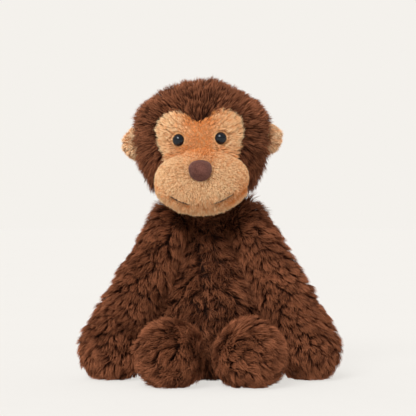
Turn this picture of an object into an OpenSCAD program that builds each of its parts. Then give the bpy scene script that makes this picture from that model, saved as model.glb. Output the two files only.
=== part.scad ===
// Sitting plush monkey with sewn limbs.
// +Z is up and the face looks along -Y. The origin is the centre of the flat seat, on the floor,
// and the torso is round about the Z axis.
// "left" is the monkey's own left, at +X. Skins are the plush backing without its pile.

/* [Torso] */
// Height of the torso from the seat to the neck opening
torso_h = 146; // [128:1:176]
// Widest diameter of the torso, low on the belly
belly_d = 102; // [84:1:123]
// Diameter of the torso at the neck opening
neck_d = 31; // [25:1:38]
// How far the shoulders and the head's middle stand in front of the torso's axis
shoulders_forward = 8; // [6:0.5:10]

/* [Head] */
// Diameter of the head
head_d = 106; // [94:1:124]
// Gap between the neck opening and the head
neck_gap = 9; // [8:0.5:12]
// Sideways offset of the head from the middle, as the toy sits
head_shift = -7; // [-10:0.5:0]
// Tilt of the head to one side, as the toy sits
head_roll = 2.4; // [0:0.2:4]
// Turn of the head to the right, in degrees
head_yaw = 2; // [0:0.5:4]
// Width of the strip over the crown
gusset_w = 26; // [20:1:32]
// Width of the tan face panel
face_w = 67; // [62:1:80]
// Width of the muzzle
muzzle_w = 80; // [66:1:92]
// Height of the muzzle
muzzle_h = 55; // [46:1:62]
// How far the muzzle's middle is below the head's middle
muzzle_drop = 34.5; // [31:0.5:37]
// Width of the nose
nose_w = 21; // [17:0.5:25]
// Height of the nose
nose_h = 21; // [16:0.5:22]
// Diameter of an eye
eye_d = 11; // [8:0.5:11.5]
// Distance between the eyes' middles
eye_spacing = 35; // [32:0.5:45]
// Diameter of an ear
ear_d = 22; // [18:0.5:27]
// Thickness of an ear
ear_t = 8; // [6:0.5:10]

/* [Arms] */
// Diameter of an arm at the shoulder
arm_top_d = 30; // [26:0.5:33]
// Diameter of a hand
hand_d = 49; // [41:0.5:58]
// How far the hands rest in front of the shoulders
hand_forward = 24; // [18:1:28]

/* [Legs] */
// Diameter of a leg at the hip
hip_d = 36; // [30:0.5:40]
// Diameter of a foot
foot_d = 50; // [42:0.5:58]
// Length of a leg from the hip to the middle of the foot
leg_len = 37; // [33:0.5:44]
// Gap between the two feet
foot_gap = 16; // [13:0.5:20]

/* [Tail] */
// Diameter of the tail
tail_d = 15; // [12:0.5:18]
// Radius of the tail's curl
tail_curl_r = 30; // [25:0.5:36]

/* [Fabric] */
// Thickness of the plush backing
skin_t = 2; // [1.4:0.1:2.6]
// Gap kept between pieces that move past each other
flex_gap = 0.5; // [0.4:0.1:0.8]
// Thickness of the gathered seams that the limbs flex at
seam_t = 1.5; // [1.2:0.1:2]

/* [Hidden] */
$fn = 64;

brown = "#4a2717";
dark_brown = "#2b150c";
tan = "#c98a4e";
maroon = "#5a2e24";
black = "#111111";
steel = "#9a9da1";
cream = "#e9e4d6";
pellet_white = "#d8dcdc";

big = 400; // side of the blocks that cut panels apart
profile_steps = 18; // points along the torso's side
arc_steps = 12; // points along a limb's round end

// Torso
belly_r = belly_d / 2;
neck_r = neck_d / 2;
belly_z = 0.205 * torso_h;
seat_r = belly_r - 6;
// Radius of the torso at height z: round at the seat, then a soft cone up to the neck
function torso_r(z) =
    z < belly_z
    ? seat_r + (belly_r - seat_r) * sin(90 * z / belly_z)
    : neck_r + (belly_r - neck_r) * (0.5 + 0.5 * cos(180 * (z - belly_z) / (torso_h - belly_z)));
pouch_h = 18;
pouch_r = seat_r - 12;
pouch_z = skin_t;
pouch_fabric_t = 1;

// Neck: a ball that the head nods and turns on
neck_ball_r = neck_r - 1.5;
neck_pos = [head_shift / 2, -shoulders_forward / 2, torso_h + neck_gap / 2];
gather_wire_r = 1.2;

// Head
head_r = head_d / 2;
head_pos = [head_shift, -shoulders_forward, torso_h + neck_gap + head_r];
muzzle_y = -sqrt(pow(head_r, 2) - pow(muzzle_drop, 2));
mouth_z = -0.4 * muzzle_h;
nose_z = 0.13 * muzzle_h;
lobe_r = 0.235 * face_w;
lobe_x = face_w / 2 - lobe_r;
lobe_z = 0.11 * face_w;
eye_z = 0.5;
eye_r = eye_d / 2;
eye_y = -sqrt(pow(head_r, 2) - pow(eye_spacing / 2, 2) - pow(eye_z, 2));
shank_d = 3;
shank_len = 12;
washer_d = 14;
washer_t = 1.2;
ear_x = head_r + 4;
stitch_t = 1.1;
stitch_proud = 0.6;

// Arms: a tapered tube from the shoulder to the hand
arm_top_r = arm_top_d / 2;
hand_r = hand_d / 2;
shoulder_z = torso_h - 10;
shoulder_x = torso_r(shoulder_z) + seam_t + flex_gap + arm_top_r;
hand_x = belly_r + hand_r + 9.5;
floor_gap = 1.5; // the hands and feet rest on their pile, just off the floor
shoulder_pos = [shoulder_x, -shoulders_forward, shoulder_z];
hand_pos = [hand_x, -shoulders_forward - hand_forward, hand_r + floor_gap];
seam_cup_r = 0.43 * arm_top_r;
seam_x = shoulder_x - arm_top_r - flex_gap - seam_t;

// Legs: a tapered tube from the hip to the foot, let a little way into the belly
hip_r = hip_d / 2;
foot_r = foot_d / 2;
hip_inset = 5.5;
hip_x = foot_r + foot_gap / 2;
hip_y = -sqrt(pow(belly_r + hip_r - hip_inset, 2) - pow(hip_x, 2));
hip_pos = [hip_x, hip_y, 24];
foot_pos = [hip_x, hip_y - leg_len, foot_r + floor_gap];

// Tail: lies on the floor and curls round to the left
tail_r = tail_d / 2;
tail_z = tail_r + 2.5;
tail_root_y = torso_r(tail_z) + tail_r + flex_gap;
tail_seam_depth = 3;

// Puts a shape made along +Z from a to b
module along(a, b) {
    d = b - a;
    translate(a)
    rotate([0, acos(d.z / norm(d)), atan2(d.y, d.x)])
    children();
}

// Draws the left-hand shape, or its mirror image on the right
module on_side(side) {
    if (side > 0) children();
    else mirror([1, 0, 0]) children();
}

// Points of an arc of radius r about [0, z], from angle a0 to a1
function arc(r, z, a0, a1) =
    [for (i = [0 : arc_steps]) let (a = a0 + (a1 - a0) * i / arc_steps) [r * cos(a), z + r * sin(a)]];

// Solid tapered tube with round ends, radius r0 at z = 0 and r1 at z = len
module taper(r0, r1, len) {
    lean = asin((r1 - r0) / len);
    rotate_extrude()
    polygon(concat(arc(r0, 0, -90, -lean), arc(r1, len, -lean, 90)));
}

// One of the two skin panels of a tapered tube: half 1 at local +X, half -1 at local -X
module half_tube(r0, r1, len, half) {
    rotate([0, 0, 90])
    intersection() {
        difference() {
            taper(r0, r1, len);
            taper(r0 - skin_t, r1 - skin_t, len);
        }
        block(1, -half);
    }
}

// Solid of revolution about X with an oval side: length w, thickness h
module oval(w, h) {
    rotate([0, 90, 0])
    rotate_extrude()
    polygon([for (p = arc(1, 0, -90, 90)) [h / 2 * p.x, w / 2 * p.y]]);
}

// Block on one side of a plane through the origin; axis 0, 1 or 2, side 1 or -1
module block(axis, side) {
    move = [for (i = [0 : 2]) i == axis ? side * big / 2 : 0];
    translate(move) cube(big, center = true);
}

// ---- Torso ----

// The torso's solid, drawn in by inset on its side only
module torso_solid(inset = 0) {
    rotate_extrude()
    polygon(concat(
        [[0, 0]],
        [for (i = [0 : profile_steps]) let (z = torso_h * i / profile_steps) [torso_r(z) - inset, z]],
        [[0, torso_h]]
    ));
}

// Disc of radius 0.75 of the tail's, from inside the seat's back towards the tail
module tail_seam_disc(h) {
    translate([0, torso_r(tail_z) - tail_seam_depth, tail_z])
    rotate([-90, 0, 0])
    cylinder(r = 0.75 * tail_r, h = h);
}

// Hollows in the torso for the neck ball, the shoulder seams, the hips and the tail's seam
module torso_hollows() {
    translate(neck_pos) sphere(neck_ball_r + flex_gap);
    tail_seam_disc(big / 4);
    for (side = [1, -1]) on_side(side) {
        translate([seam_x - flex_gap, -shoulders_forward, shoulder_z])
        rotate([0, 90, 0])
        cylinder(r = seam_cup_r + flex_gap, h = big / 4);
        translate(hip_pos) sphere(hip_r + flex_gap + seam_t);
    }
}

module torso_shell() {
    difference() {
        torso_solid();
        torso_solid(skin_t);
        torso_hollows();
    }
}

module torso_front_panel() {
    color(brown)
    intersection() {
        torso_shell();
        block(1, -1);
    }
}

module torso_back_panel(side) {
    color(brown)
    intersection() {
        torso_shell();
        block(1, 1);
        block(0, side);
    }
}

module torso_base_panel() {
    color(brown)
    difference() {
        intersection() {
            torso_solid(skin_t);
            translate([-big / 2, -big / 2, 0]) cube([big, big, skin_t]);
        }
        torso_hollows();
    }
}

// Rounded flat bag, radius r and height h, standing at z = 0
module flat_bag(r, h) {
    rotate_extrude()
    intersection() {
        union() {
            translate([r - h / 2, h / 2]) circle(h / 2);
            square([r - h / 2, h]);
        }
        square([r, h]);
    }
}

module seat_pellet_pouch() {
    color(cream)
    translate([0, 0, pouch_z])
    difference() {
        flat_bag(pouch_r, pouch_h);
        translate([0, 0, pouch_fabric_t]) flat_bag(pouch_r - pouch_fabric_t, pouch_h - 2 * pouch_fabric_t);
    }
}

module seat_pellets() {
    color(pellet_white)
    translate([0, 0, pouch_z + pouch_fabric_t])
    flat_bag(pouch_r - pouch_fabric_t, pouch_h - 2 * pouch_fabric_t);
}

module torso_stuffing() {
    color(cream)
    difference() {
        torso_solid(skin_t);
        translate([-big / 2, -big / 2, -big + skin_t]) cube(big);
        translate([0, 0, pouch_z]) flat_bag(pouch_r, pouch_h);
        torso_hollows();
    }
}

// Thread up the middle of the back, over the seam between the back panels
module back_closing_stitch() {
    color(dark_brown)
    intersection() {
        difference() {
            torso_solid(-stitch_proud);
            torso_solid();
        }
        translate([-stitch_t / 2, 0, 0.28 * torso_h]) cube([stitch_t, big / 2, 0.44 * torso_h]);
    }
}

// ---- Neck ----

module neck_stuffing() {
    color(cream)
    difference() {
        translate(neck_pos) sphere(neck_ball_r);
        gather_ring_solid();
    }
}

module gather_ring_solid() {
    translate(neck_pos)
    rotate_extrude()
    translate([neck_ball_r, 0]) circle(gather_wire_r);
}

module neck_gather_ring() {
    color(dark_brown) gather_ring_solid();
}

// ---- Head ----

module at_head() {
    translate(head_pos) rotate([0, -head_roll, -head_yaw]) children();
}

module at_muzzle() {
    at_head() translate([0, muzzle_y, -muzzle_drop]) children();
}

// Room for the neck ball, in the toy's own frame
module neck_hollow() {
    translate(neck_pos) sphere(neck_ball_r + gather_wire_r + flex_gap);
}

// Outline of the face panel: two round lobes over the eyes, joined down to the muzzle
module face_outline() {
    difference() {
        hull() {
            for (side = [1, -1]) translate([side * lobe_x, lobe_z]) circle(lobe_r);
            translate([0, -0.26 * face_w]) circle(0.39 * face_w);
        }
        translate([0, lobe_z + 0.42 * lobe_r])
        polygon([[0, 0], [lobe_x, 0.62 * lobe_r], [0, 2 * lobe_r], [-lobe_x, 0.62 * lobe_r]]);
    }
}

// Everything in front of the head that is inside the face panel's outline
module face_block() {
    rotate([90, 0, 0]) linear_extrude(big / 2) face_outline();
}

module head_shell() {
    difference() {
        sphere(head_r);
        sphere(head_r - skin_t);
    }
}

module eye_shank_bores() {
    for (side = [1, -1]) at_eye(side) cylinder(d = shank_d, h = big / 4, center = true);
}

module face_panel() {
    color(tan)
    difference() {
        at_head()
        difference() {
            intersection() {
                head_shell();
                face_block();
            }
            eye_shank_bores();
        }
        neck_hollow();
    }
}

module head_panel(side) {
    color(brown)
    difference() {
        at_head()
        on_side(-side)
        difference() {
            intersection() {
                head_shell();
                translate([-gusset_w / 2, 0, 0]) block(0, -1);
            }
            face_block();
        }
        neck_hollow();
    }
}

module head_crown_strip() {
    color(brown)
    difference() {
        at_head()
        difference() {
            intersection() {
                head_shell();
                cube([gusset_w, big, big], center = true);
            }
            face_block();
        }
        neck_hollow();
    }
}

module head_stuffing() {
    color(cream)
    difference() {
        at_head()
        difference() {
            sphere(head_r - skin_t);
            for (side = [1, -1]) at_eye(side) eye_hardware_room();
        }
        neck_hollow();
    }
}

// Axis of an eye, pointing out of the head, with its origin on the face panel's outer surface
module at_eye(side) {
    p = [side * eye_spacing / 2, eye_y, eye_z];
    translate(p)
    rotate([0, acos(p.z / norm(p)), atan2(p.y, p.x)])
    children();
}

// Domed glossy button on a shank that goes through the face panel
module eye(side) {
    color(black)
    at_head()
    at_eye(side) {
        intersection() {
            translate([0, 0, 1.2]) sphere(eye_r);
            cylinder(r = eye_r, h = big / 8);
        }
        translate([0, 0, -shank_len]) cylinder(d = shank_d, h = shank_len);
    }
}

module washer_disc() {
    translate([0, 0, -skin_t - washer_t - 0.6]) cylinder(d = washer_d, h = washer_t);
}

module eye_washer(side) {
    color(steel)
    at_head()
    at_eye(side)
    difference() {
        washer_disc();
        cylinder(d = shank_d, h = big / 4, center = true);
    }
}

// What the eye and its washer take out of the stuffing
module eye_hardware_room() {
    translate([0, 0, -shank_len]) cylinder(d = shank_d, h = shank_len + 2);
    washer_disc();
}

// ---- Muzzle, nose and mouth ----

// Muzzle's solid in front of the head's skin, grown by extra
module muzzle_solid(extra = 0) {
    difference() {
        at_muzzle() oval(muzzle_w + 2 * extra, muzzle_h + 2 * extra);
        at_head() sphere(head_r);
        neck_hollow();
    }
}

module muzzle_panel(side) {
    color(tan)
    intersection() {
        difference() {
            muzzle_solid();
            muzzle_solid(-skin_t);
        }
        at_muzzle() translate([0, 0, mouth_z]) block(2, side);
    }
}

module muzzle_stuffing() {
    color(cream) muzzle_solid(-skin_t);
}

module nose() {
    color(maroon)
    difference() {
        at_muzzle() translate([0, -0.42 * muzzle_h, nose_z]) oval(nose_w, nose_h);
        at_muzzle() oval(muzzle_w, muzzle_h);
    }
}

// Thread lying on the muzzle, inside the flat outline given as a child in the XZ plane
module thread_on_muzzle() {
    intersection() {
        difference() {
            muzzle_solid(stitch_proud);
            muzzle_solid();
        }
        at_muzzle() rotate([90, 0, 0]) linear_extrude(muzzle_h) children();
    }
}

module mouth_stitch() {
    smile_r = 0.56 * muzzle_w;
    smile_half_angle = 36;
    color(dark_brown)
    thread_on_muzzle()
    translate([0, mouth_z + smile_r])
    intersection() {
        difference() {
            circle(smile_r + stitch_t / 2);
            circle(smile_r - stitch_t / 2);
        }
        polygon([
            [0, 0],
            [-2 * smile_r * sin(smile_half_angle), -2 * smile_r * cos(smile_half_angle)],
            [2 * smile_r * sin(smile_half_angle), -2 * smile_r * cos(smile_half_angle)]
        ]);
    }
}

module nose_to_mouth_stitch() {
    top_z = nose_z - nose_h / 2;
    color(dark_brown)
    thread_on_muzzle()
    translate([-stitch_t / 2, mouth_z + stitch_t])
    square([stitch_t, top_z - mouth_z - stitch_t - 1]);
}

// ---- Ears ----

// Round flat ear with a soft edge, standing on the side of the head
module ear_half(side, face) {
    color(tan)
    at_head()
    difference() {
        intersection() {
            translate([side * ear_x, 0, 1.8])
            rotate([90, 0, 0])
            rotate_extrude()
            intersection() {
                union() {
                    translate([ear_d / 2 - ear_t / 2, 0]) circle(ear_t / 2);
                    translate([0, -ear_t / 2]) square([ear_d / 2 - ear_t / 2, ear_t]);
                }
                translate([0, -ear_t]) square([ear_d, 2 * ear_t]);
            }
            block(1, face);
        }
        sphere(head_r);
    }
}

// ---- Arms ----

// Cup of gathered fabric between the torso and the round end of the arm
module shoulder_seam(side) {
    color(dark_brown)
    on_side(side)
    difference() {
        translate([seam_x, -shoulders_forward, shoulder_z])
        rotate([0, 90, 0])
        cylinder(r = seam_cup_r, h = seam_t + 3.5);
        translate(shoulder_pos) sphere(arm_top_r + flex_gap);
    }
}

arm_len = norm(hand_pos - shoulder_pos);
bag_r = 0.68 * hand_r;

// half 1 is the panel against the body, half -1 the outer one
module arm_panel(side, half) {
    color(brown)
    on_side(side)
    along(shoulder_pos, hand_pos)
    half_tube(arm_top_r, hand_r, arm_len, half);
}

module arm_stuffing(side) {
    color(cream)
    on_side(side)
    along(shoulder_pos, hand_pos)
    difference() {
        taper(arm_top_r - skin_t, hand_r - skin_t, arm_len);
        translate([0, 0, arm_len]) sphere(bag_r);
    }
}

module hand_pellet_bag(side) {
    color(pellet_white)
    on_side(side)
    translate(hand_pos) sphere(bag_r);
}

// ---- Legs ----

leg_axis_len = norm(foot_pos - hip_pos);
foot_bag_r = 0.66 * foot_r;

// Folded seam allowance around the leg's round end, let into the belly
module hip_seam(side) {
    color(dark_brown)
    on_side(side)
    intersection() {
        torso_solid();
        difference() {
            translate(hip_pos) sphere(hip_r + flex_gap + seam_t, $fn = 180);
            translate(hip_pos) sphere(hip_r + flex_gap, $fn = 180);
        }
    }
}

// half 1 is the sole, half -1 the upper panel
module leg_panel(side, half) {
    color(brown)
    on_side(side)
    along(hip_pos, foot_pos)
    half_tube(hip_r, foot_r, leg_axis_len, half);
}

module leg_stuffing(side) {
    color(cream)
    on_side(side)
    along(hip_pos, foot_pos)
    difference() {
        taper(hip_r - skin_t, foot_r - skin_t, leg_axis_len);
        translate([0, 0, leg_axis_len]) sphere(foot_bag_r);
    }
}

module foot_pellet_bag(side) {
    color(pellet_white)
    on_side(side)
    translate(foot_pos) sphere(foot_bag_r);
}

// ---- Tail ----

// Half ball of radius r with its flat face at the origin, round towards -Y
module half_ball(r) {
    rotate([90, 0, 0])
    rotate_extrude()
    intersection() {
        circle(r);
        square([r, r]);
    }
}

// Tube curled through half a circle behind the toy, radius r, with a half ball on each end
module tail_solid(r) {
    translate([tail_curl_r, tail_root_y, tail_z]) {
        rotate_extrude(angle = 180) translate([tail_curl_r, 0]) circle(r);
        for (side = [1, -1]) translate([side * tail_curl_r, 0, 0]) half_ball(r);
    }
}

// Small gathered disc, let into the seat's back, that the tail's round end sits in
module tail_seam() {
    color(dark_brown)
    difference() {
        tail_seam_disc(2 * tail_seam_depth);
        translate([0, tail_root_y, tail_z]) sphere(tail_r + flex_gap);
    }
}

module tail_panel(half) {
    color(brown)
    intersection() {
        difference() {
            tail_solid(tail_r);
            tail_solid(tail_r - skin_t);
        }
        translate([0, 0, tail_z]) block(2, half);
    }
}

module tail_stuffing() {
    color(cream) tail_solid(tail_r - skin_t);
}

torso_front_panel();
torso_back_panel(1);  // torso_back_panel_left
torso_back_panel(-1);  // torso_back_panel_right
torso_base_panel();
torso_stuffing();
seat_pellet_pouch();
seat_pellets();
back_closing_stitch();
neck_stuffing();
neck_gather_ring();
head_panel(1);  // head_panel_left
head_panel(-1);  // head_panel_right
head_crown_strip();
head_stuffing();
face_panel();
muzzle_panel(1);  // muzzle_upper_panel
muzzle_panel(-1);  // muzzle_chin_panel
muzzle_stuffing();
nose();
mouth_stitch();
nose_to_mouth_stitch();
eye(1);  // eye_left
eye(-1);  // eye_right
eye_washer(1);  // eye_washer_left
eye_washer(-1);  // eye_washer_right
ear_half(1, -1);  // ear_left_front
ear_half(1, 1);  // ear_left_back
ear_half(-1, -1);  // ear_right_front
ear_half(-1, 1);  // ear_right_back
shoulder_seam(1);  // shoulder_seam_left
shoulder_seam(-1);  // shoulder_seam_right
arm_panel(1, -1);  // arm_left_outer_panel
arm_panel(1, 1);  // arm_left_inner_panel
arm_stuffing(1);  // arm_left_stuffing
hand_pellet_bag(1);  // hand_left_pellet_bag
arm_panel(-1, -1);  // arm_right_outer_panel
arm_panel(-1, 1);  // arm_right_inner_panel
arm_stuffing(-1);  // arm_right_stuffing
hand_pellet_bag(-1);  // hand_right_pellet_bag
hip_seam(1);  // hip_seam_left
hip_seam(-1);  // hip_seam_right
leg_panel(1, -1);  // leg_left_upper_panel
leg_panel(1, 1);  // leg_left_sole_panel
leg_stuffing(1);  // leg_left_stuffing
foot_pellet_bag(1);  // foot_left_pellet_bag
leg_panel(-1, -1);  // leg_right_upper_panel
leg_panel(-1, 1);  // leg_right_sole_panel
leg_stuffing(-1);  // leg_right_stuffing
foot_pellet_bag(-1);  // foot_right_pellet_bag
tail_seam();
tail_panel(1);  // tail_upper_panel
tail_panel(-1);  // tail_lower_panel
tail_stuffing();
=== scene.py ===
# %% [markdown]
# # A stuffed monkey, covered in pile
#
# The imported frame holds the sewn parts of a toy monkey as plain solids: a pear-shaped body, a round
# head, arms, legs and a tail, each with its joints. This lesson puts the soft covers, the pile, the
# face and the light on it. The frame's solids are never changed. Where one is too plain to be seen,
# a new piece stands for it and rides on the same body.

import math

import bmesh
import bpy
import numpy as np
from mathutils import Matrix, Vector


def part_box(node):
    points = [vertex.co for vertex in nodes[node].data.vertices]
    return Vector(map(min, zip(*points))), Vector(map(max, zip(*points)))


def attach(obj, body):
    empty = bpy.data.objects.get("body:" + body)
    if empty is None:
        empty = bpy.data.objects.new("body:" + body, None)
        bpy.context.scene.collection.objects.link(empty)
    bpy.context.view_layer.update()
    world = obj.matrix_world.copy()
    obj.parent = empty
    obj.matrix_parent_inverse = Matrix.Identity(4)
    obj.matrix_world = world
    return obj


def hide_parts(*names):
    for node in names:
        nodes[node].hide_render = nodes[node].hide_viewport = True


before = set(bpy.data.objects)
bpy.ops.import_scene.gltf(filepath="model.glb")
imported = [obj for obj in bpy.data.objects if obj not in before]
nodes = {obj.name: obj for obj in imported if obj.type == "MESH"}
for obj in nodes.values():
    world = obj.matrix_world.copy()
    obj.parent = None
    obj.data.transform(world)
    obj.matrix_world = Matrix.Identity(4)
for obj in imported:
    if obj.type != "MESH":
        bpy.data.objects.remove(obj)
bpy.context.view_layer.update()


def middle(node):
    """The centre of a frame node's box."""
    low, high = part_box(node)
    return (low + high) / 2


def size(node):
    low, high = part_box(node)
    return high - low


# %% [markdown]
# ## Camera, floor and light
#
# A soft toy is photographed from about its own height with a long lens, so that the feet don't grow
# larger than the head. The floor is a wide plain sheet as bright as the sky behind it, so no horizon
# shows. It also glows a little of its own, so that it stays white where the toy keeps the light off.

# %% The camera
view_distance = 1.25
view_height = 0.150
view_tilt = math.radians(-0.5)
view_width = 0.3744
view_aside = -0.0016
camera = bpy.data.cameras.new("camera")
camera.lens = camera.sensor_width * view_distance / view_width
camera_object = bpy.data.objects.new("camera", camera)
bpy.context.scene.collection.objects.link(camera_object)
camera_object.location = (
    view_aside,
    -view_distance * math.cos(view_tilt),
    view_height + view_distance * math.sin(view_tilt),
)
camera_object.rotation_euler = (math.pi / 2 - view_tilt, 0, 0)
bpy.context.scene.camera = camera_object
print("lens in mm:", round(camera.lens, 1))

# %% The floor and the light
studio_white = (0.905, 0.880, 0.839)


def far_lamp(name, toward, strength, spread):
    """A lamp so far off that it lights the whole floor evenly. spread is its width in degrees."""
    lamp = bpy.data.lights.new(name, "SUN")
    lamp.energy = strength
    lamp.angle = math.radians(spread)
    lamp_object = bpy.data.objects.new(name, lamp)
    lamp_object.rotation_euler = Vector(toward).to_track_quat("-Z", "Y").to_euler()
    bpy.context.scene.collection.objects.link(lamp_object)


floor_reach = 20
floor_bm = bmesh.new()
bmesh.ops.create_grid(floor_bm, x_segments=1, y_segments=1, size=floor_reach)
floor_mesh = bpy.data.meshes.new("floor")
floor_bm.to_mesh(floor_mesh)
floor_bm.free()
floor = bpy.data.objects.new("floor", floor_mesh)
bpy.context.scene.collection.objects.link(floor)
bpy.context.scene.view_settings.view_transform = "Standard"

# %% [markdown]
# ## Node arithmetic
#
# Both the materials and the pile are made with nodes. Reading a long chain of Math nodes is hard, so
# one small class wraps a socket and lets plain Python signs add the nodes: `1 - a * b` makes two of
# them. The same class works on numbers and on vectors, in a material and in a geometry tree.


# %% A socket that can be reckoned with
class Value:
    """A node's output. Signs between values add Math or Vector Math nodes."""

    def __init__(self, tree, socket):
        self.tree, self.socket = tree, socket

    @property
    def is_vector(self):
        return self.socket.type in ("VECTOR", "RGBA", "ROTATION")

    def step(self, operation, *terms):
        vector = any(t.is_vector if isinstance(t, Value) else isinstance(t, tuple) for t in terms)
        node = self.tree.nodes.new("ShaderNodeVectorMath" if vector else "ShaderNodeMath")
        node.operation = operation
        for i, term in enumerate(terms):
            socket = node.inputs["Scale"] if operation == "SCALE" and i == 1 else node.inputs[i]
            if isinstance(term, Value):
                self.tree.links.new(term.socket, socket)
            elif socket.type == "VECTOR" and not isinstance(term, tuple):
                socket.default_value = (term, term, term)
            else:
                socket.default_value = term
        return Value(self.tree, node.outputs["Value" if operation == "DOT_PRODUCT" else 0])

    def __add__(self, other):
        return self.step("ADD", self, other)

    def __sub__(self, other):
        return self.step("SUBTRACT", self, other)

    def __rsub__(self, other):
        return self.step("SUBTRACT", other, self)

    def __mul__(self, other):
        other_vector = other.is_vector if isinstance(other, Value) else isinstance(other, tuple)
        if self.is_vector and not other_vector:
            return self.step("SCALE", self, other)
        if other_vector and not self.is_vector and isinstance(other, Value):
            return self.step("SCALE", other, self)
        return self.step("MULTIPLY", self, other)

    def __pow__(self, other):
        return self.step("POWER", self, other)

    def __rpow__(self, other):
        return self.step("POWER", other, self)

    def __gt__(self, other):
        return self.step("GREATER_THAN", self, other)

    def __lt__(self, other):
        return self.step("LESS_THAN", self, other)

    __radd__ = __add__
    __rmul__ = __mul__

    def at_least(self, other):
        return self.step("MAXIMUM", self, other)

    def at_most(self, other):
        return self.step("MINIMUM", self, other)

    def within(self, low=0.0, high=1.0):
        return self.at_least(low).at_most(high)

    def dot(self, other):
        return self.step("DOT_PRODUCT", self, other)

    def cross(self, other):
        return self.step("CROSS_PRODUCT", self, other)

    def sine(self):
        return self.step("SINE", self)

    def square_root(self):
        return self.step("SQRT", self)

    def unit(self):
        return self.step("NORMALIZE", self)

    def bell(self, width):
        """1 where this is 0, falling to 0 over about the width given."""
        return 2.718 ** (self * self * (-1.0 / (width * width)))


# %% Adding any other node
class Graph:
    """Adds nodes to one tree: settings first, then the sockets' values or links."""

    def __init__(self, tree):
        self.tree = tree

    def node(self, kind, settings=None, **sockets):
        made = self.tree.nodes.new(kind)
        for key, value in (settings or {}).items():
            if key == "stops":
                stops = made.color_ramp.elements
                while len(stops) < len(value):
                    stops.new(1)
                for stop, (place, colour) in zip(stops, value):
                    stop.position, stop.color = place, (*colour, 1)
            else:
                setattr(made, key, value)
        for key, value in sockets.items():
            name = key.replace("_", " ")
            socket = next(s for s in made.inputs if s.enabled and s.name == name)
            if isinstance(value, Value):
                self.tree.links.new(value.socket, socket)
            else:
                socket.default_value = value
        return made

    def value(self, kind, settings=None, output=None, **sockets):
        """The named output of a new node, or its first."""
        made = self.node(kind, settings, **sockets)
        found = next(s for s in made.outputs if s.enabled and (output is None or s.name == output))
        return Value(self.tree, found)

    def parts(self, vector):
        split = self.node("ShaderNodeSeparateXYZ", Vector=vector)
        return [Value(self.tree, out) for out in split.outputs]

    def vector(self, x, y, z):
        return self.value("ShaderNodeCombineXYZ", X=x, Y=y, Z=z)

    def mix(self, share, a, b):
        return self.value("ShaderNodeMix", {"data_type": "RGBA"}, Factor=share, A=a, B=b)

    def ramp(self, share, stops):
        return self.value("ShaderNodeValToRGB", {"stops": stops}, Fac=share)

    def noise(self, place, grain, detail=2.0, output="Fac"):
        """Noise whose lumps are about grain metres wide."""
        return self.value("ShaderNodeTexNoise", output=output, Vector=place, Scale=1 / grain, Detail=detail)


# %% [markdown]
# ## The studio's glow
#
# The room is a white tent: it glows most from behind and above the toy, which gives the pile its
# pale rim, and less from the camera's side, where the lamps do the work. What the camera itself
# sees of the tent is an even white. One broad lamp above the left shoulder gives the pile its lit
# tips and its dark partings. A second, weak and narrow, is there for the sparkle in the eyes.

# %% The tent and the lamps
sky = bpy.data.worlds.new("studio")
sky.use_nodes = True
bpy.context.scene.world = sky
sky_graph = Graph(sky.node_tree)
sky_x, sky_y, sky_z = sky_graph.parts(sky_graph.value("ShaderNodeTexCoord", output="Generated"))
glow = 0.5 + sky_y.within() * 0.75 + sky_z.within() * 0.1 + (sky_x * -1.0).within() * 0.2
seen = sky_graph.value("ShaderNodeLightPath", output="Is Camera Ray")
brightness = glow * (1 - seen) + seen
backdrop = sky.node_tree.nodes["Background"]
backdrop.inputs["Color"].default_value = (*studio_white, 1)
sky.node_tree.links.new(brightness.socket, backdrop.inputs["Strength"])
far_lamp("key_lamp", (0.42, 1.0, -0.95), 2.55, 30)
far_lamp("eye_spark", (0.08, 1.0, -0.75), 0.35, 5)

# %% [markdown]
# ## Finishes
#
# Every finish is made from nodes that read the piece's own place, so it needs no picture. Plush
# fabric is the exception: its colour runs along each strand, from a root darkened with painted shade,
# which stands for the shade deep in the pile, to a light tip, and differs from one tuft to the next.
# The pile pieces therefore carry a small map: across is the strand's shade, up is the way from root
# to tip.

# %% Finishes made from nodes
PILE_MAP = "OFBake"


def new_material(name, roughness, specular=0.3, sheen=0.0, coat=0.0):
    """A material with its plain numbers set, and the graph to add its pattern."""
    material = bpy.data.materials.new(name)
    material.use_nodes = True
    shader = material.node_tree.nodes["Principled BSDF"]
    shader.inputs["Roughness"].default_value = roughness
    shader.inputs["Specular IOR Level"].default_value = specular
    shader.inputs["Sheen Weight"].default_value = sheen
    shader.inputs["Coat Weight"].default_value = coat
    return material, Graph(material.node_tree), shader


def pile_material(name, deep, pale):
    """Strands between a deep and a pale colour; each is a list of stops from root to tip. The dark first stops
    are painted shade, the shade deep in the pile.
    """
    material, g, shader = new_material(name, 0.65, 0.1)
    place = g.value("ShaderNodeUVMap", {"uv_map": PILE_MAP})
    shade, along, _ = g.parts(place)
    colour = g.mix(shade, g.ramp(along, deep), g.ramp(along, pale))
    material.node_tree.links.new(colour.socket, shader.inputs["Base Color"])
    return material


def speckled_material(name, colours, grain, bump, roughness, specular=0.3, sheen=0.0, coat=0.0):
    """Two colours mixed in grains of the given width, with a bump of the given height, in metres."""
    material, g, shader = new_material(name, roughness, specular, sheen, coat)
    place = g.value("ShaderNodeTexCoord", output="Object")
    fine = g.noise(place, grain, 4.0)
    broad = g.noise(place, grain * 9, 1.0)
    share = (fine * 0.75 + broad * 0.6 - 0.2).within()
    links = material.node_tree.links
    links.new(g.ramp(share, [(0.25, colours[0]), (0.75, colours[1])]).socket, shader.inputs["Base Color"])
    raised = g.value("ShaderNodeBump", Strength=0.6, Distance=bump, Height=fine)
    links.new(raised.socket, shader.inputs["Normal"])
    return material


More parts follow.
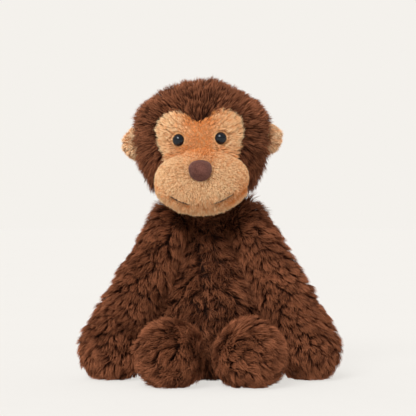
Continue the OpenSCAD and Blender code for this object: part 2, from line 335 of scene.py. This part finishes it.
def woven_material(name, colours, thread, roughness=0.8, sheen=0.1):
    """A plain weave: two sets of ridges one thread apart, crossing over and under."""
    material, g, shader = new_material(name, roughness, 0.2, sheen)
    place = g.value("ShaderNodeTexCoord", output="Object")
    turns = 2 * math.pi / thread
    x, y, z = g.parts(place)
    across = (x * turns + y * (turns * 0.7)).sine()
    up = (z * turns).sine()
    weave = (across * up * 0.5 + 0.5).within()
    share = (weave * 0.6 + g.noise(place, thread * 6) * 0.4).within()
    links = material.node_tree.links
    links.new(g.ramp(share, [(0.1, colours[0]), (0.9, colours[1])]).socket, shader.inputs["Base Color"])
    raised = g.value("ShaderNodeBump", Strength=0.5, Distance=thread * 0.3, Height=weave)
    links.new(raised.socket, shader.inputs["Normal"])
    return material


# %% The toy's own finishes
# The root stops are far darker than the tips: painted shade for the dark deep in the pile.
brown_deep = [(0.0, (0.008, 0.003, 0.002)), (0.45, (0.060, 0.019, 0.009)), (1.0, (0.19, 0.062, 0.026))]
brown_pale = [(0.0, (0.016, 0.006, 0.003)), (0.45, (0.135, 0.042, 0.018)), (1.0, (0.52, 0.190, 0.090))]
tan_pale = [(0.0, (0.48, 0.22, 0.09)), (0.4, (0.84, 0.52, 0.26)), (1.0, (0.97, 0.76, 0.48))]
tan_orange = [(0.0, (0.38, 0.09, 0.02)), (0.4, (0.70, 0.235, 0.06)), (1.0, (0.91, 0.37, 0.11))]
ear_pale = [(0.0, (0.24, 0.10, 0.04)), (0.4, (0.64, 0.37, 0.19)), (1.0, (0.95, 0.73, 0.48))]
brown_pile = pile_material("brown_plush_pile", brown_deep, brown_pale)
tan_pile = pile_material("tan_plush_pile", tan_pale, tan_orange)
ear_pile = pile_material("ear_plush_pile", ear_pale, tan_orange)
brown_backing = speckled_material(
    "brown_plush_backing", [(0.012, 0.005, 0.003), (0.035, 0.014, 0.008)], 0.0009, 0.0003, 0.9, specular=0.1
)
tan_backing = speckled_material(
    "tan_plush_backing", [(0.40, 0.16, 0.055), (0.76, 0.42, 0.19)], 0.0008, 0.0003, 0.85, specular=0.1
)
ear_backing = speckled_material(
    "ear_plush_backing", [(0.26, 0.12, 0.05), (0.55, 0.32, 0.17)], 0.0008, 0.0003, 0.85, specular=0.1
)
nose_flock = speckled_material(
    "nose_flock", [(0.055, 0.018, 0.013), (0.185, 0.074, 0.056)], 0.0009, 0.0006, 0.85, specular=0.1, sheen=0.1
)
dark_thread = speckled_material(
    "dark_thread", [(0.03, 0.014, 0.009), (0.09, 0.045, 0.03)], 0.0003, 0.0001, 0.6
)
eye_plastic = speckled_material(
    "eye_plastic", [(0.003, 0.004, 0.006), (0.008, 0.011, 0.016)], 0.0006, 0.00001, 0.1, specular=0.22, coat=0.2
)
washer_plastic = speckled_material(
    "washer_plastic", [(0.62, 0.62, 0.60), (0.75, 0.75, 0.73)], 0.001, 0.00003, 0.4
)
fibre_stuffing = speckled_material(
    "fibre_stuffing", [(0.62, 0.61, 0.58), (0.85, 0.84, 0.81)], 0.0025, 0.0012, 0.9, specular=0.1, sheen=0.2
)
pellet_plastic = speckled_material(
    "pellet_plastic", [(0.66, 0.66, 0.64), (0.82, 0.82, 0.80)], 0.0012, 0.00002, 0.35
)
pellet_bag_fabric = woven_material("pellet_bag_fabric", [(0.50, 0.48, 0.44), (0.74, 0.72, 0.67)], 0.0008)
seam_fabric = woven_material("seam_fabric", [(0.016, 0.007, 0.004), (0.05, 0.021, 0.012)], 0.0007)
print("materials:", len(bpy.data.materials))

# %% The floor's finish
floor_glow = 0.743
floor_white = speckled_material(
    "floor_white", [(0.182, 0.179, 0.176), (0.190, 0.187, 0.184)], 0.02, 0.0, 0.9, specular=0.0
)
floor_shader = floor_white.node_tree.nodes["Principled BSDF"]
floor_shader.inputs["Emission Color"].default_value = (*studio_white, 1)
floor_shader.inputs["Emission Strength"].default_value = floor_glow
floor.data.materials.append(floor_white)

# %% [markdown]
# ## Soft covers
#
# A stuffed part is round because its filling pushes the cloth outwards everywhere. So each cover
# starts as a copy of the frame's panels and filling and is made one even skin with a voxel remesh.
# A small one is then moved in or out a fraction of a millimetre, so that it clears what lies next to
# it. A short cloth simulation with pressure and no gravity blows the skin up. No point may end
# further than two millimetres from where it started, which keeps the toy's measured size. Last,
# some covers are moulded, as the maker does with thread and fingers.


# %% One skin from several nodes
def joined_copy(name, names):
    """A new object whose mesh is the named frame nodes together, with their loose corners merged."""
    bm = bmesh.new()
    for n in names:
        bm.from_mesh(nodes[n].data)
    bmesh.ops.remove_doubles(bm, verts=bm.verts, dist=1e-6)
    mesh = bpy.data.meshes.new(name)
    bm.to_mesh(mesh)
    bm.free()
    made = bpy.data.objects.new(name, mesh)
    bpy.context.scene.collection.objects.link(made)
    return made


def apply_modifiers(piece):
    """Keeps the mesh as its modifiers show it, and takes them off."""
    graph = bpy.context.evaluated_depsgraph_get()
    kept = bpy.data.meshes.new_from_object(piece.evaluated_get(graph))
    piece.modifiers.clear()
    piece.data = kept
    kept.name = piece.name


def outer_island(bm):
    """Takes away every closed surface but the widest, which leaves no hidden inner walls."""
    left, islands = set(bm.verts), []
    while left:
        island, edge = set(), {left.pop()}
        while edge:
            island |= edge
            edge = {e.other_vert(v) for v in edge for e in v.link_edges} - island
        left -= island
        co = np.array([v.co for v in island])
        islands.append((float(np.ptp(co, axis=0).sum()), island))
    islands.sort(key=lambda pair: pair[0])
    for _, island in islands[:-1]:
        bmesh.ops.delete(bm, geom=list(island), context="VERTS")


def even_skin(piece, grain, draw_in):
    """Remeshes the piece in cells of the grain's size and draws it in along its normals, or lets it
    out when draw_in is below 0."""
    remesh = piece.modifiers.new("remesh", "REMESH")
    remesh.mode = "VOXEL"
    remesh.voxel_size = grain
    apply_modifiers(piece)
    bm = bmesh.new()
    bm.from_mesh(piece.data)
    outer_island(bm)
    every_way = {"use_axis_x": True, "use_axis_y": True, "use_axis_z": True}
    for _ in range(2):
        bmesh.ops.smooth_vert(bm, verts=bm.verts, factor=0.5, **every_way)
    bmesh.ops.recalc_face_normals(bm, faces=bm.faces)
    bm.normal_update()
    for v in bm.verts:
        v.co -= v.normal * draw_in
    bm.to_mesh(piece.data)
    bm.free()


# %% Filling a skin
filling_frames = 20
floor_gap = 0.0006


def fill_out(piece, pressure, cap):
    """Blows the skin up as its stuffing does, and caps how far a point may move."""
    rest = np.array([v.co for v in piece.data.vertices])
    cloth = piece.modifiers.new("cloth", "CLOTH")
    cloth.settings.quality = 5
    cloth.settings.mass = 0.3
    cloth.settings.use_pressure = True
    cloth.settings.uniform_pressure_force = pressure
    cloth.settings.effector_weights.gravity = 0
    cloth.point_cache.frame_start, cloth.point_cache.frame_end = 1, filling_frames
    for moment in range(1, filling_frames + 1):
        bpy.context.scene.frame_set(moment)
    apply_modifiers(piece)
    bpy.context.scene.frame_set(1)
    end = np.array([v.co for v in piece.data.vertices])
    move = end - rest
    far = np.linalg.norm(move, axis=1, keepdims=True)
    move *= np.minimum(1, cap / np.maximum(far, 1e-9))
    piece.data.vertices.foreach_set("co", (rest + move).astype(np.float32).ravel())
    piece.data.update()
    return float(far.max())


def soft_cover(name, names, grain, draw_in, cap, material, pressure=4.0, mould=None):
    """A stuffed piece made from the named frame nodes. mould takes a point and gives its new place."""
    piece = joined_copy(name, names)
    even_skin(piece, grain, draw_in)
    moved = fill_out(piece, pressure, cap)
    for v in piece.data.vertices:
        if mould is not None:
            v.co = mould(v.co.copy())
        v.co.z = max(v.co.z, floor_gap)
    round_off = piece.modifiers.new("round", "SUBSURF")
    round_off.levels = round_off.render_levels = 1
    apply_modifiers(piece)
    for face in piece.data.polygons:
        face.use_smooth = True
    piece.data.materials.clear()
    piece.data.materials.append(material)
    print(name, "faces", len(piece.data.polygons), "blown up by mm", round(1000 * moved, 1))
    return piece


# %% [markdown]
# ## Pile
#
# Plush is a knitted backing with strands standing out of it. Hair curves would look right here but
# can't be handed on as a mesh, so the strands are real: a three-faced blade, scattered over the
# cover by a geometry tree, bent the way the pile was combed and drawn together in tufts. The tree's
# result is kept as a plain mesh, one piece for each cover.

# %% The blade
blade_bm = bmesh.new()
bmesh.ops.create_grid(blade_bm, x_segments=1, y_segments=3, size=0.5)
bmesh.ops.translate(blade_bm, verts=blade_bm.verts, vec=(0, 0.5, 0))
blade_tip = [v for v in blade_bm.verts if v.co.y > 0.99]
bmesh.ops.pointmerge(blade_bm, verts=blade_tip, merge_co=(0, 1, 0))
blade_mesh = bpy.data.meshes.new("blade")
blade_bm.to_mesh(blade_mesh)
blade_bm.free()
blade = bpy.data.objects.new("blade", blade_mesh)
bpy.context.scene.collection.objects.link(blade)


# %% The tree that grows the pile
looks_back, looks_ahead = 0.006, 0.045
faces_back = 0.25
patch_width = 0.022
strand_facts = ("root", "out", "tuft", "lock", "tuft_chance", "chance", "flow")


def pile_tree(
    name, per_area, length, width, lean, comb, tuft, tuft_size, wave,
    reach, tint, patches, clear_of, behind, front_only, seed, stray,
):  # fmt: skip
    """A geometry tree that turns a cover into its strands. comb and reach are functions of the graph
    and the root's place. tint is one too, or a plain number. patches is how far the shade drifts
    over a few centimetres, and stray how far the strands stray from the way they were combed."""
    tree = bpy.data.node_groups.new(name, "GeometryNodeTree")
    tree.interface.new_socket("Geometry", in_out="INPUT", socket_type="NodeSocketGeometry")
    tree.interface.new_socket("Geometry", in_out="OUTPUT", socket_type="NodeSocketGeometry")
    g = Graph(tree)
    cover = Value(tree, tree.nodes.new("NodeGroupInput").outputs[0])
    here = g.value("GeometryNodeInputPosition")
    grow = g.value("ShaderNodeValue") * 0.0 + per_area
    for other, gap in clear_of:
        shape = g.value("GeometryNodeObjectInfo", output="Geometry", Object=other)
        near = g.node("GeometryNodeProximity", {"target_element": "FACES"}, Geometry=shape)
        grow = grow * (Value(tree, near.outputs["Distance"]) > gap)
    for other in behind:
        shape = g.value("GeometryNodeObjectInfo", output="Geometry", Object=other)
        start = here + (0.0, looks_back, 0.0)
        ray = {"Source_Position": start, "Ray_Direction": (0.0, -1.0, 0.0), "Ray_Length": looks_ahead}
        hit = g.value("GeometryNodeRaycast", output="Is Hit", Target_Geometry=shape, **ray)
        grow = grow * (1 - hit)
    if front_only:
        _, face_y, _ = g.parts(g.value("GeometryNodeInputNormal"))
        grow = grow * (face_y < faces_back)
    scatter = g.node("GeometryNodeDistributePointsOnFaces", Mesh=cover, Density=grow, Seed=seed)
    points = Value(tree, scatter.outputs["Points"])
    big = g.node("ShaderNodeTexVoronoi", Vector=here, Scale=1 / tuft_size)
    small = g.node("ShaderNodeTexVoronoi", Vector=here, Scale=1 / (0.45 * tuft_size))
    of_vectors = {"data_type": "FLOAT_VECTOR"}
    spread = {"Min": (-1, -1, -1), "Max": (1, 1, 1), "Seed": seed}
    chance = g.value("FunctionNodeRandomValue", of_vectors, **spread)
    flow = g.noise(here, wave, 1.0, "Color")
    told = [
        here,
        Value(tree, scatter.outputs["Normal"]),
        Value(tree, big.outputs["Position"]),
        Value(tree, small.outputs["Position"]),
        Value(tree, big.outputs["Color"]),
        chance,
        flow,
    ]
    for key, told_value in zip(strand_facts, told):
        points = g.value(
            "GeometryNodeStoreNamedAttribute",
            {"data_type": "FLOAT_VECTOR", "domain": "POINT"},
            Geometry=points,
            Name=key,
            Value=told_value,
        )
    one_blade = g.value("GeometryNodeObjectInfo", output="Geometry", Object=blade)
    blades = g.value("GeometryNodeInstanceOnPoints", Points=points, Instance=one_blade)
    strands = g.value("GeometryNodeRealizeInstances", Geometry=blades)
    kept = {
        key: g.value("GeometryNodeInputNamedAttribute", of_vectors, output="Attribute", Name=key)
        for key in strand_facts
    }
    root, out = kept["root"], kept["out"]
    across, along, _ = g.parts(here - root)
    chance_x, chance_y, chance_z = g.parts(kept["chance"])
    tuft_x, tuft_y, tuft_z = g.parts(kept["tuft_chance"])
    shade = tint(g, root) if callable(tint) else tint
    patch = g.noise(root * (1.0, 1.0, 2.0), patch_width, 1.0) - 0.5
    shade = (shade + patch * patches + (tuft_x - 0.5) * 0.5 + chance_z * 0.28).within(0.02, 0.98)
    strands = g.value(
        "GeometryNodeStoreNamedAttribute",
        {"data_type": "FLOAT2", "domain": "CORNER"},
        Geometry=strands,
        Name=PILE_MAP,
        Value=g.vector(shade, along.within(0.02, 0.98), 0.0),
    )
    way = comb(g, root) + (kept["flow"] - (0.5, 0.5, 0.5)) * stray
    way = way + (kept["tuft_chance"] - (0.5, 0.5, 0.5)) * 0.9 + kept["chance"] * 0.5
    way = (way - out * way.dot(out)).unit()
    long = (tuft_y * 0.5 + 0.7) * (chance_x * 0.2 + 1.0) * length
    if reach is not None:
        long = long * reach(g, root)
    bend = tuft_z * 0.35 + chance_y * 0.12 + lean
    curve = along * along
    place = root + (out * (along - curve * bend * 0.45) + way * (curve * bend)) * long
    for key, pull, power in (("tuft", tuft, 1.4), ("lock", tuft * 0.6, 1.0)):
        drawn = kept[key] - root
        drawn = drawn - out * drawn.dot(out)
        place = place + drawn * (along**power * pull)
    heading = (out * (1.0 - along * bend * 0.9) + way * (along * bend * 2.0)).unit()
    side = heading.cross(kept["chance"].unit()).unit()
    x, y, z = g.parts(place + side * (across * width))
    above_floor = g.vector(x, y, z.at_least(floor_gap))
    moved = g.value("GeometryNodeSetPosition", Geometry=strands, Position=above_floor)
    tree.links.new(moved.socket, tree.nodes.new("NodeGroupOutput").inputs[0])
    return tree


# %% Growing the pile on a cover
strand_total = 0


def downward(g, root):
    """Pile combed towards the floor."""
    return g.vector(0.0, 0.0, -1.2)


def grow_pile(
    cover, strands, length, width, material, comb=downward, lean=0.5, tuft=0.4, tuft_size=0.007,
    wave=0.013, reach=None, tint=0.4, patches=1.6, clear_of=(), behind=(), front_only=False, stray=3.4,
):  # fmt: skip
    """A new piece: the strands on a cover, about as many as asked for."""
    global strand_total
    bm = bmesh.new()
    bm.from_mesh(cover.data)
    bm.normal_update()
    area = sum(f.calc_area() for f in bm.faces if f.normal.y < faces_back or not front_only)
    bm.free()
    name = cover.name.replace("_cover", "") + "_pile"
    piece = bpy.data.objects.new(name, cover.data.copy())
    bpy.context.scene.collection.objects.link(piece)
    seed = 7
    tree = pile_tree(
        name, strands / area, length, width, lean, comb, tuft, tuft_size, wave,
        reach, tint, patches, clear_of, behind, front_only, seed, stray,
    )  # fmt: skip
    grower = piece.modifiers.new("grow", "NODES")
    grower.node_group = tree
    apply_modifiers(piece)
    bpy.data.node_groups.remove(tree)
    for key in (*strand_facts, "id"):
        if key in piece.data.attributes:
            piece.data.attributes.remove(piece.data.attributes[key])
    piece.data.materials.clear()
    piece.data.materials.append(material)
    made = len(piece.data.polygons) // 3
    strand_total += made
    print(name, "strands", made, "on square cm", round(area * 1e4))
    return piece


def dress(cover, pile, body, stands_for):
    """Puts a cover and its pile on their body."""
    for piece in (cover, pile):
        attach(piece, body)
    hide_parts(*stands_for)


# %% [markdown]
# ## The body
#
# The body is a pear sewn from a front, two back panels and a base. Its pile is about a centimetre
# long, combed down, and falls into tufts with dark partings between them.

# %% The body's cover and pile
brown_strand = 0.00038
torso_panels = ["torso_front_panel", "torso_back_panel_left", "torso_back_panel_right", "torso_base_panel"]
torso_names = [*torso_panels, "torso_stuffing", "neck_stuffing"]
torso_cover = soft_cover("torso_cover", torso_names, 0.004, 0.0, 0.002, brown_backing)


def torso_reach(g, root):
    """Longer round the neck, where the body's pile meets the head's."""
    x, y, z = g.parts(root)
    return (z * 40.0 - 4.9).within() * 0.8 + 1.0


def torso_comb(g, root):
    """Down the belly, and standing out round the neck."""
    x, y, z = g.parts(root)
    up = (z * 40.0 - 4.7).within()
    return g.vector(x * 8.0 * up, y * 20.0 * up, up * 2.0 - 1.2)


def torso_side_shade(g, root):
    """Painted shade: paler down the middle of the belly, darker at the sides, where the arms lie."""
    x, y, z = g.parts(root)
    return x.bell(0.034) * 0.26 + 0.12


torso_pile = grow_pile(
    torso_cover, 39000, 0.0115, brown_strand, brown_pile, comb=torso_comb, tuft=0.5, tuft_size=0.008,
    tint=torso_side_shade, reach=torso_reach,
)  # fmt: skip
dress(torso_cover, torso_pile, "torso", torso_panels)

# %% [markdown]
# ## The neck
#
# The neck is a ball of filling that moves on its own body, drawn in by a gathering thread. When the
# head nods or turns it comes into sight, so it has a cover and pile of its own.

# %% The neck's cover and pile
neck_nodes = ["neck_stuffing", "neck_gather_ring"]
neck_cover = soft_cover("neck_cover", neck_nodes, 0.002, -0.0006, 0.001, brown_backing)
neck_pile = grow_pile(neck_cover, 5000, 0.008, brown_strand, brown_pile, lean=0.35, tuft_size=0.005, tint=0.2)
dress(neck_cover, neck_pile, "neck", ["neck_gather_ring"])

# %% [markdown]
# ## The head
#
# The head is a ball of two sides and a strip over the crown, with the face let into its front. Its
# pile is a little shorter than the body's and is combed away from the face on all sides, so that
# the face lies in a shallow nest of brown.

# %% The face's cover and the head's
head_middle = middle("head_stuffing")
head_half = size("head_stuffing") / 2
muzzle_nodes = ["muzzle_upper_panel", "muzzle_chin_panel"]
muzzle_middle = (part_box("muzzle_upper_panel")[0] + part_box("muzzle_upper_panel")[1]) / 2
muzzle_low, muzzle_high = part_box("muzzle_chin_panel")[0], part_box("muzzle_upper_panel")[1]
muzzle_middle.z = (muzzle_low.z + muzzle_high.z) / 2
eye_middle = (middle("eye_left") + middle("eye_right")) / 2
print("head", head_middle, "muzzle", muzzle_middle, "eyes", eye_middle)


def mould_head(p):
    """Broadens the head above the ears and presses its crown a little flat."""
    d = p - head_middle
    up = max(0.0, d.z / head_half.z)
    p.x += d.x * 0.13 * math.sin(min(1.0, up) * math.pi) ** 2
    p.z -= 0.002 * up**4
    return p


def mould_face(p):
    """Lifts the outer edges of the lobes off the head."""
    d = p - eye_middle
    out = min(1.0, abs(d.x) / 0.036) ** 2
    p.y -= 0.0012 * (1 - out)
    return p + (p - head_middle).normalized() * (0.0008 + 0.0016 * out)


face_cover = soft_cover("face_cover", ["face_panel"], 0.0018, -0.0006, 0.001, tan_backing, mould=mould_face)
head_panels = ["head_panel_left", "head_panel_right", "head_crown_strip"]
head_names = [*head_panels, "head_stuffing"]
head_cover = soft_cover("head_cover", head_names, 0.0035, 0.0, 0.002, brown_backing, mould=mould_head)

# %% [markdown]
# ## The muzzle
#
# The muzzle is a wide soft oval, the toy's most visible part. It has a low hump on top that runs up
# between the eyes and a long smiling crease where a thread pulls the pile in, with the hint of a
# soft lower lip below it. The thread down from the nose lies deeper, under a low fold of the cloth.

# %% The muzzle's cover
muzzle_half = (muzzle_high - muzzle_low) / 2
smile_points = np.array([v.co for v in nodes["mouth_stitch"].data.vertices])
smile = [float(c) for c in np.polyfit(smile_points[:, 0], smile_points[:, 2], 2)]
smile_half = size("mouth_stitch").x / 2
philtrum = middle("nose_to_mouth_stitch")
nose_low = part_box("nose")[0].z + 0.002
lip_from = 0.014


def smile_height(x):
    """How high the smile's thread lies at x, as the frame has it."""
    return x * x * smile[0] + x * smile[1] + smile[2]


def mould_muzzle(p):
    """Raises the hump, fills the jowls, hides the upright thread, presses in the smile and the lip."""
    d = p - muzzle_middle
    top = max(0.0, d.z / muzzle_half.z)
    low = max(0.0, -d.z / muzzle_half.z)
    hump = math.exp(-((d.x / 0.013) ** 2)) * top**2
    p.z += 0.0045 * hump
    p.x += d.x * 0.05 * math.sin(min(1.0, low * 1.1) * math.pi) ** 2
    front = max(0.0, -d.y / muzzle_half.y)
    below = p.z - smile_height(p.x)
    within = max(0.0, 1 - (d.x / smile_half) ** 4)
    if smile_height(philtrum.x) + 0.001 < p.z < nose_low:
        p.y -= 0.0013 * math.exp(-(((p.x - philtrum.x) / 0.0026) ** 2)) * front
    p.y += 0.0015 * math.exp(-((below / 0.0018) ** 2)) * within * front
    if d.x > lip_from:
        fold = math.exp(-(((below + 0.0035) / 0.0018) ** 2)) * min(1.0, (d.x - lip_from) / 0.008)
        p += (muzzle_middle - p).normalized() * 0.0013 * fold
    return p


muzzle_names = [*muzzle_nodes, "muzzle_stuffing"]
muzzle_cover = soft_cover("muzzle_cover", muzzle_names, 0.0022, 0.0001, 0.0015, tan_backing, mould=mould_muzzle)

# %% [markdown]
# ## The nose
#
# The nose is a small flocked pad, wider at its top than at its bottom and a little flat across the
# top. It is a stuffed piece too, so it is made as the covers are, in a finer grain.

# %% The nose pad
nose_middle = middle("nose")
nose_half = size("nose") / 2


def mould_nose(p):
    """Widens the upper half a little and flattens the top edge."""
    d = p - nose_middle
    up = d.z / nose_half.z
    p.x = nose_middle.x + d.x * (1.04 + 0.04 * up)
    if up > 0.6:
        p.z -= (up - 0.6) * nose_half.z * 0.25
    p.y -= 0.0018
    return p


nose_pad = soft_cover("nose_pad", ["nose"], 0.0011, 0.0, 0.0006, nose_flock, pressure=2.0, mould=mould_nose)
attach(nose_pad, "head")
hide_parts("nose")


# %% The head's pile
def from_face(g, root):
    """Away from the middle of the face above the cheeks, and straight down below them."""
    x, y, z = g.parts(root - tuple(head_middle))
    low = (z * -28.0 + 0.1).within()
    away = root - tuple(eye_middle + Vector((0, -0.01, 0.002)))
    return away.unit() * (1.6 - low * 1.2) + g.vector(x * low * -14.0, 0.3, low * -1.6 - 0.35)


def head_reach(g, root):
    """Shorter over the crown but for one small tuft, longer behind the cheeks."""
    x, y, z = g.parts(root - tuple(head_middle))
    crown = (x - 0.011).bell(0.006) * y.bell(0.012) * (z * 60.0 - 2.2).within()
    return 1.1 - (z * 22.0).within() * 0.22 + (z * -30.0 - 0.7).within() * 0.4 + crown * 0.9


head_pile = grow_pile(
    head_cover, 39000, 0.0098, brown_strand, brown_pile, comb=from_face, lean=0.4, tuft=0.28,
    tuft_size=0.0045, tint=0.5, behind=[face_cover, muzzle_cover], reach=head_reach, stray=1.8,
)  # fmt: skip
dress(head_cover, head_pile, "head", head_panels)


# %% The face's pile
def from_brow(g, root):
    """Out and up from between the eyes."""
    return (root - tuple(eye_middle + Vector((0, 0, -0.006)))).unit() * 2.0


def face_reach(g, root):
    """Short between the eyes, long at the outer edges."""
    x, y, z = g.parts(root - tuple(eye_middle))
    out = (x * x + z * z * 1.2).square_root()
    return (out * 42.0 - 0.25).within(0.28, 1.0)


def face_tone_and_side_shade(g, root):
    """Orange between and under the eyes, pale in the upper lobes, with a painted shade of deeper orange on the
    toy's left side, away from the key lamp.
    """
    x, y, z = g.parts(root - tuple(eye_middle))
    under = (z * -22.0).within(0.0, 0.35)
    # painted shade: deeper orange on the side turned away from the key lamp
    aside = (x * 24.0 - 0.2).within() * 0.25
    return (x.bell(0.016) * 0.95 + under + aside + 0.08).within()


eye_gap = 0.0014
face_pile = grow_pile(
    face_cover, 17000, 0.0052, 0.00034, tan_pile, comb=from_brow, lean=0.75, tuft_size=0.0028, wave=0.012,
    reach=face_reach, tint=face_tone_and_side_shade, clear_of=[(nodes["eye_left"], eye_gap), (nodes["eye_right"], eye_gap)],
    front_only=True, stray=1.0, patches=0.3,
)  # fmt: skip
dress(face_cover, face_pile, "head", ["face_panel"])


# %% The muzzle's pile
def from_nose(g, root):
    """Away from the nose, and down."""
    return (root - tuple(nose_middle)).unit() * 1.6 + (0.0, 0.0, -0.5)


def muzzle_reach(g, root):
    """A longer fringe under the chin, and next to none where the smile's thread shows."""
    x, y, z = g.parts(root)
    fringe = ((z - muzzle_middle.z) * -60.0 - 0.4).within() * 0.9 + 0.8
    over = z - smile_height(x)
    off = x - muzzle_middle.x
    bare = (over - 0.0005).bell(0.0019) * (off * off * 12000.0 - 0.6).within() * (off * off < smile_half**2)
    return fringe * (1 - bare * 0.92)


def muzzle_tone_and_shade(g, root):
    """Orange on the hump, paler down the cheeks. Painted shade in deeper orange about the smile and its fold,
    under the muzzle, and on the toy's left cheek, away from the key lamp.
    """
    x, y, z = g.parts(root - tuple(muzzle_middle))
    hump = x.bell(0.017) * (z * 55.0 - 0.45).within()
    # painted shade: deeper orange on the cheek turned away from the key lamp
    cheek = (x * 30.0 - 0.45).within() * 0.4
    root_x, _, root_z = g.parts(root)
    over = root_z - smile_height(root_x)
    # painted shade: deeper orange along the smile's crease and in the fold below it
    lip = over.bell(0.004) * 0.3 + (over + 0.0035).bell(0.0018) * (x * 90.0 - 1.3).within() * 0.5
    # painted shade: deeper orange under the muzzle, which faces the floor
    under = (z * -34.0 - 0.35).within() * 0.4
    return (hump + cheek + lip + under + 0.08).within()


muzzle_pile = grow_pile(
    muzzle_cover, 38000, 0.0029, 0.0003, tan_pile, comb=from_nose, lean=0.45, tuft=0.3, tuft_size=0.0018,
    wave=0.006, reach=muzzle_reach, tint=muzzle_tone_and_shade, clear_of=[(nose_pad, 0.0004)],
    front_only=True, stray=1.6, patches=0.3,
)  # fmt: skip
dress(muzzle_cover, muzzle_pile, "head", muzzle_nodes)

# %% [markdown]
# ## The ears
#
# Each ear is a small round pad of two layers. Its pale pile is long for its size and hangs over the
# edge in a ragged fringe.

# %% Both ears
for side in ("left", "right"):
    halves = [f"ear_{side}_front", f"ear_{side}_back"]
    ear_middle = (middle(halves[0]) + middle(halves[1])) / 2
    outward = 1.0 if side == "left" else -1.0

    def from_ear(g, root, ear_middle=ear_middle, outward=outward):
        """Away from the ear's middle, and outwards."""
        return (root - tuple(ear_middle)).unit() * 1.5 + (outward * 0.6, 0.0, -0.3)

    ear_cover = soft_cover(f"ear_{side}_cover", halves, 0.0014, 0.0003, 0.0012, ear_backing)
    ear_pile_piece = grow_pile(
        ear_cover, 6500, 0.0055, 0.0004, ear_pile, comb=from_ear, lean=0.6, tuft_size=0.003, wave=0.01,
        tint=0.15, stray=1.5, patches=0.3,
    )  # fmt: skip
    dress(ear_cover, ear_pile_piece, "head", halves)

# %% [markdown]
# ## Arms, legs and tail
#
# The limbs are tapered tubes that end in round hands and feet weighted with pellets. Their pile is
# the body's, combed from the shoulder to the hand and from the ankle over the foot.


# %% A limb
def limb(name, halves, strands, start, pull, tint, length=0.0105, aside=0.0, grain=0.0035, tuft_size=0.007):
    """The cover and pile of one limb. The pile is combed away from the point start with the pull
    given, down, and aside."""
    panels = [f"{name}_{half}_panel" for half in halves]

    def from_start(g, root):
        """Away from the limb's start, down and aside."""
        return (root - tuple(start)).unit() * pull + (aside, 0.0, -0.5)

    def high_reach(g, root):
        """Longer on the shoulders."""
        x, y, z = g.parts(root)
        return (z * 60.0 - 8.1).within() * 0.4 + 0.9

    cover = soft_cover(f"{name}_cover", [*panels, f"{name}_stuffing"], grain, 0.0, 0.002, brown_backing)
    pile = grow_pile(
        cover, strands, length, brown_strand, brown_pile, comb=from_start, tuft_size=tuft_size,
        tint=tint, reach=high_reach,
    )  # fmt: skip
    dress(cover, pile, name, panels)


for side, leg_tint, outward in (("left", 0.6, 1.1), ("right", 0.45, -1.1)):
    limb(f"arm_{side}", ("outer", "inner"), 36000, middle(f"shoulder_seam_{side}"), 1.2, 0.58)
    hip = middle(f"hip_seam_{side}") + Vector((0, 0, 0.01))
    limb(f"leg_{side}", ("upper", "sole"), 27000, hip, 0.25, leg_tint, aside=outward)
tail_root = middle("tail_seam")
limb("tail", ("upper", "lower"), 9000, tail_root, 0.8, 0.4, length=0.007, grain=0.002, tuft_size=0.005)
print("strands in all:", strand_total)

# %% [markdown]
# ## The pieces that stay as the frame made them
#
# Eyes, washers, threads, bags, pellets and filling already have their right shape. They only get
# their finish: glossy black for the eyes, dark thread for the stitches, a woven bag, white fibre.

# %% Finishes for the frame's own nodes
finishes = [
    ("eye_washer", washer_plastic, "washer_plastic"),
    ("eye_", eye_plastic, "eye_plastic"),
    ("stitch", dark_thread, "dark_thread"),
    ("gather_ring", dark_thread, "dark_thread"),
    ("seat_pellets", pellet_plastic, "pellet_plastic"),
    ("pellet", pellet_bag_fabric, "pellet_bag_fabric"),
    ("stuffing", fibre_stuffing, "fibre_stuffing"),
    ("seam", seam_fabric, "seam_fabric"),
]
left_over = []
for name, node in nodes.items():
    if node.hide_render:
        continue
    for word, material, slot_name in finishes:
        if word in name:
            node.data.materials.clear()
            node.data.materials.append(material)
            break
    else:
        left_over.append(name)
print("frame nodes with no finish:", left_over)

# %% Taking away the blade
bpy.data.objects.remove(blade)
